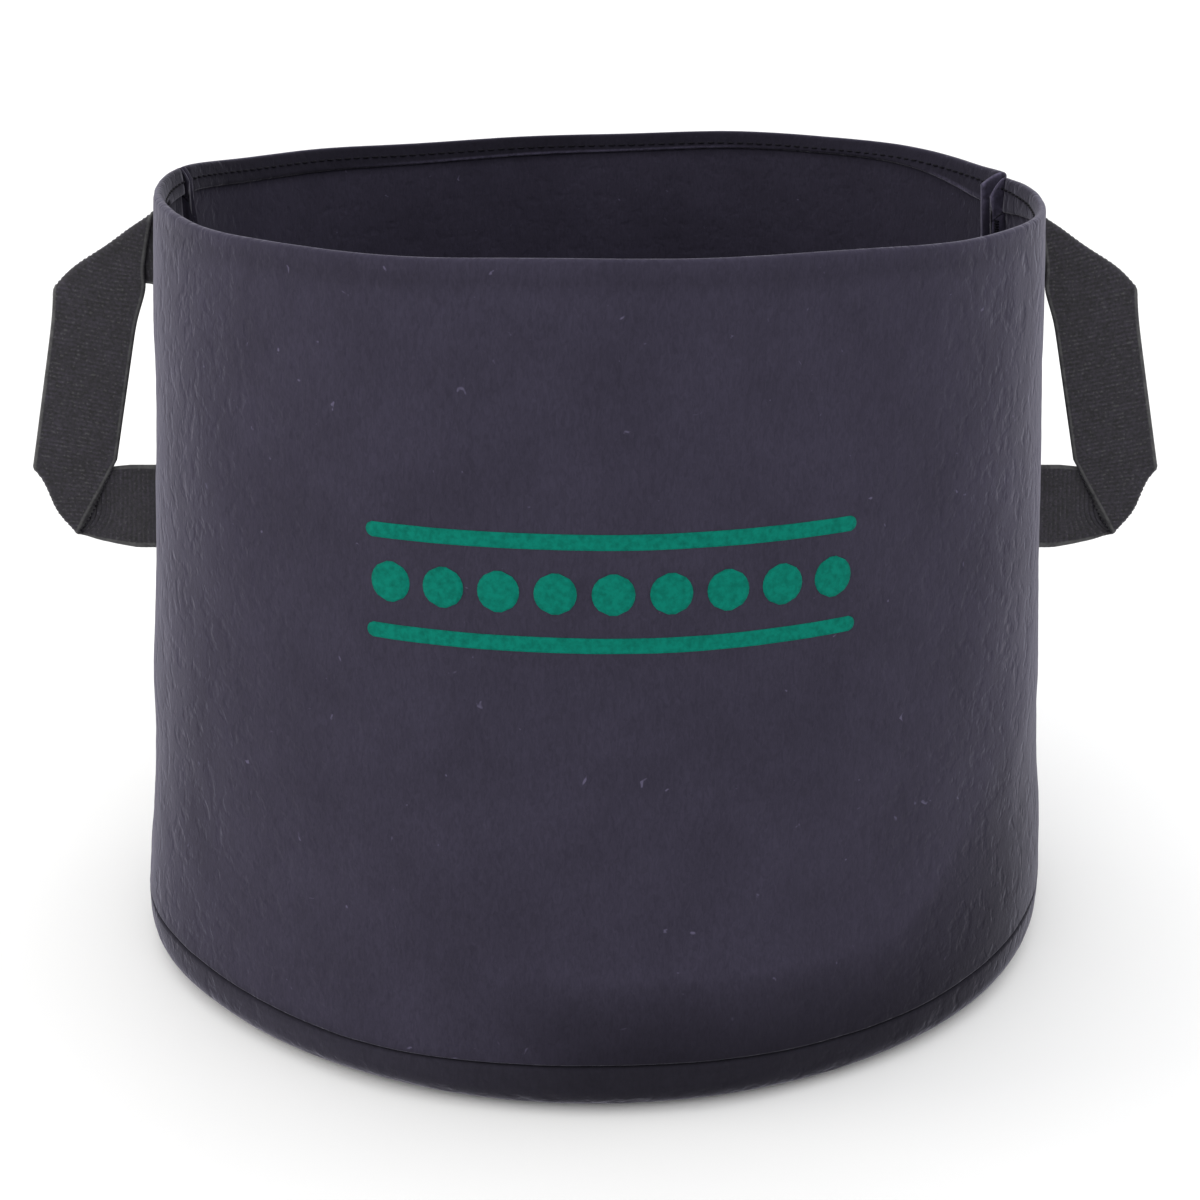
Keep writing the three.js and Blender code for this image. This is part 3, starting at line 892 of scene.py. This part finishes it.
def handle(side, mirror):
    points, uv, rows, columns = handle_strip()
    hinge = HINGES["right_handle_swing"]
    points = stand_handle(points, hinge, mirror)
    faces = loft_faces(rows, columns)
    faces.append(tuple(range(columns))[::-1])
    faces.append(tuple(range((rows - 1) * columns, rows * columns)))
    if mirror < 0:
        faces = [face[::-1] for face in faces]
    strap = mesh_object(f"{side}_handle_webbing", points, faces, WEBBING)
    layer = strap.data.uv_layers.new(name="webbing")
    corners = np.empty(len(strap.data.loops), dtype=np.int32)
    strap.data.loops.foreach_get("vertex_index", corners)
    layer.data.foreach_set("uv", uv[corners].ravel())
    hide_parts(f"{side}_handle_loop", f"{side}_handle_upper_end", f"{side}_handle_lower_end")
    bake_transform(strap)
    return strap


# ---------------------------------------------------------------- stitching
def stitch_path(start, end, out, rise):
    """A stitch's path: out of the cloth at one needle hole, over the surface and back in at the next."""
    steps = np.linspace(0, 1, 6)
    lift = np.array([-1.2, 0.3, 1.0, 1.0, 0.3, -1.2]) * rise
    return [start + (end - start) * t + out * h for t, h in zip(steps, lift)]


def ring_stitches(name, node, height_at, depth, length, pitch):
    """A line of stitches round the bag on the face that lies depth inside its outer face."""
    gather = Gather()
    count = int(2 * math.pi * RIM_RADIUS / pitch)
    for i in range(count):
        angles = np.array([i, i + length / pitch]) * 2 * math.pi / count
        ends, outward = wall_points(angles, height_at(angles), -depth)
        gather.add(*tube(stitch_path(ends[0], ends[1], -outward[0], THREAD * 0.6), THREAD))
    line = gather.done(name, THREAD_BLACK)
    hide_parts(node)
    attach(line, "bag")
    return line


HEM_STITCH_SHARE = 0.65  # how far down the hem its stitches run


def hem_line(angles):
    return HEIGHT - HEM_STITCH_SHARE * HEM_DEPTH + 0 * angles


def base_seam_line(angles):
    return BASE_SEAM + seam_wave(angles)


def seam_point(edge, share, z):
    """A point on the face of a seam allowance, a share of the way from its bend to its cut edge."""
    along, sideways = edge.frame()
    amount = edge.reach * share
    length = amount * edge.length_left(z)
    radius = wall_radius(np.full(1, edge.angle), np.full(1, z))[0] - edge.lip - length
    flat = along * radius + sideways * (seam_gap(np.full(1, z), amount)[0] + FELT)
    return np.array([flat[0], flat[1], z])


def seam_stitches(name, node, edge):
    """Stitches up the side seam, on one panel's allowance."""
    gather = Gather()
    pitch = 4.2 * MM
    out = np.append(edge.frame()[1], 0)
    for z in np.arange(42 * MM, HEIGHT - HEM_DEPTH - 5 * MM, pitch):
        low = seam_point(edge, 0.5, z)
        high = seam_point(edge, 0.5, z + 0.78 * pitch)
        gather.add(*tube(stitch_path(low, high, out, THREAD * 0.7), THREAD))
    line = gather.done(name, THREAD_BLACK)
    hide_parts(node)
    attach(line, "bag")
    return line


def bar_tack(name, node, edge, centre):
    """A close zigzag of thread that locks one end of a handle, on one panel's allowance."""
    gather = Gather()
    out = np.append(edge.frame()[1], 0)
    half_height, turns = 12 * MM, 26
    for i in range(turns):
        z = centre - half_height + 2 * half_height * i / turns
        low = seam_point(edge, 0.5, z)
        high = seam_point(edge, 0.9, z + half_height / turns)
        gather.add(*tube(stitch_path(low, high, out, THREAD * 0.8), THREAD * 0.9))
    tack = gather.done(name, THREAD_BLACK)
    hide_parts(node)
    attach(tack, "bag")
    return tack


# ---------------------------------------------------------------- printed mark
INK_PROUD = 0.16 * MM
INK_DEPTH = 0.7 * MM
MARK_CENTRE = 5 * MM  # to the right of the bag's middle
MARK_HEIGHT = 0.635 * HEIGHT
RULE_LENGTH, RULE_WIDTH, RULE_OFFSET = 143 * MM, 4.5 * MM, 15 * MM
DOTS, DOT_SIZE, DOT_PITCH = 9, 12 * MM, 16 * MM


def add_film(gather, rows_of_points):
    """A thin closed film of ink on the front of the bag, over a grid of (across, up) points."""
    rows, columns = len(rows_of_points), len(rows_of_points[0])
    across, up = np.array(rows_of_points).reshape(-1, 2).T
    top, outward = wall_points(-math.pi / 2 + across / RIM_RADIUS, up, INK_PROUD)
    bottom = top - outward * INK_DEPTH
    count = rows * columns
    faces = loft_faces(rows, columns, close_columns=False)
    faces += [tuple(i + count for i in face[::-1]) for face in faces]
    rim = list(range(columns))
    rim += [i * columns + columns - 1 for i in range(1, rows)]
    rim += [(rows - 1) * columns + j for j in range(columns - 2, -1, -1)]
    rim += [i * columns for i in range(rows - 2, 0, -1)]
    for a, b in zip(rim, rim[1:] + rim[:1]):
        faces.append((b, a, a + count, b + count))
    gather.add(list(top) + list(bottom), faces)


def bar_rows(centre, height, length, thickness):
    """A bar with round ends, or a dot when its length is its thickness, as rows of points."""
    rows = []
    for v in np.linspace(-1, 1, 9):
        half = (length - thickness + thickness * math.sqrt(1 - v * v * 0.97)) / 2
        count = max(8, int(length / (2 * MM)))
        rows.append([(centre + t * half, height + v * thickness / 2) for t in np.linspace(-1, 1, count)])
    return rows


def printed_mark():
    """A plain mark in the place of the printed one: a row of dots between two rules."""
    gather = Gather()
    for side in (-1, 1):
        add_film(gather, bar_rows(MARK_CENTRE, MARK_HEIGHT + side * RULE_OFFSET, RULE_LENGTH, RULE_WIDTH))
    for i in range(DOTS):
        centre = MARK_CENTRE + (i - DOTS // 2) * DOT_PITCH
        add_film(gather, bar_rows(centre, MARK_HEIGHT, DOT_SIZE, DOT_SIZE))
    mark = gather.done("printed_mark", INK)
    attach(mark, "bag")
    return mark


# ---------------------------------------------------------------- studio
def area_light(name, place, target, size, power, colour=(1, 1, 1)):
    data = bpy.data.lights.new(name, "AREA")
    data.color = colour
    data.shape = "RECTANGLE"
    data.size, data.size_y = size
    data.energy = power
    light = bpy.data.objects.new(name, data)
    light.location = place
    light.rotation_euler = (Vector(target) - Vector(place)).to_track_quat("-Z", "Y").to_euler()
    bpy.context.collection.objects.link(light)
    return light


def studio():
    scene = bpy.context.scene
    scene.view_settings.view_transform = "Standard"
    scene.view_settings.look = "None"
    world = bpy.data.worlds.new("studio")
    scene.world = world
    world.use_nodes = True
    background = world.node_tree.nodes["Background"]
    background.inputs["Color"].default_value = (1, 1, 1, 1)
    background.inputs["Strength"].default_value = 1.2
    side = 30.0
    floor = mesh_object(
        "floor",
        [(-side, -side, 0), (side, -side, 0), (side, side, 0), (-side, side, 0)],
        [(0, 1, 2, 3)],
        floor_material(),
        smooth=False,
    )
    floor.location.z = -0.2 * MM
    middle = (0, 0, HEIGHT / 2)
    area_light("left_strip", (-1.1, -0.15, 0.2), middle, (0.4, 1.0), 4.0, (1.0, 0.96, 0.86))
    area_light("right_strip", (1.1, 0.25, 0.8), middle, (0.4, 0.8), 0.8)
    area_light("front_soft", (-0.5, -1.6, 1.4), middle, (1.4, 1.0), 3)


def camera():
    data = bpy.data.cameras.new("camera")
    data.lens = 59.94
    data.sensor_width = 36
    data.shift_x = 0.004
    data.shift_y = -0.1
    view = bpy.data.objects.new("camera", data)
    view.location = (0, -0.677, 0.350)
    view.rotation_euler = (math.radians(90 - 16.42), 0, 0)
    bpy.context.collection.objects.link(view)
    bpy.context.scene.camera = view


# ---------------------------------------------------------------- assembly
def build():
    camera()
    studio()
    right, left, turn = SEAM_SETBACK, math.pi - SEAM_SETBACK, 2 * math.pi
    neat = {"lip": 1.7 * MM, "reach": 6.5 * MM, "drop": 4 * MM, "shade": 0.5, "trim": 0.6}
    front_left, back_left = SeamEdge(left, 1, **neat), SeamEdge(left, -1, **neat)
    front_right = SeamEdge(turn + right, -1, reach=4.5 * MM, drop=6 * MM, step=-0.8 * MM, pale=0.7, shade=0.2)
    back_right = SeamEdge(right, 1, reach=7 * MM, drop=4 * MM, step=0.8 * MM, pale=0.5, shade=0.4)
    base_panel()
    wall_panel("front_wall_felt", "front_wall_panel", front_left, front_right)
    wall_panel("back_wall_felt", "back_wall_panel", back_right, back_left)
    handle("right", 1)
    handle("left", -1)
    hem_depth = hem_inset(HEM_STITCH_SHARE)
    ring_stitches("hem_thread", "hem_stitching", hem_line, hem_depth, 3.0 * MM, 4.2 * MM)
    ring_stitches("base_seam_thread", "base_seam_stitching", base_seam_line, 1.2 * FELT, 3.4 * MM, 4.6 * MM)
    sides = (("right", back_right, front_right), ("left", back_left, front_left))
    for side, back_edge, front_edge in sides:
        seam_stitches(f"{side}_seam_thread", f"{side}_seam_stitching", back_edge)
        for level, (low, high) in (("upper", UPPER_END), ("lower", LOWER_END)):
            centre = (low.z + high.z) / 2
            bar_tack(f"{side}_{level}_tack_thread", f"{side}_{level}_bar_tack", front_edge, centre)
    printed_mark()


build()
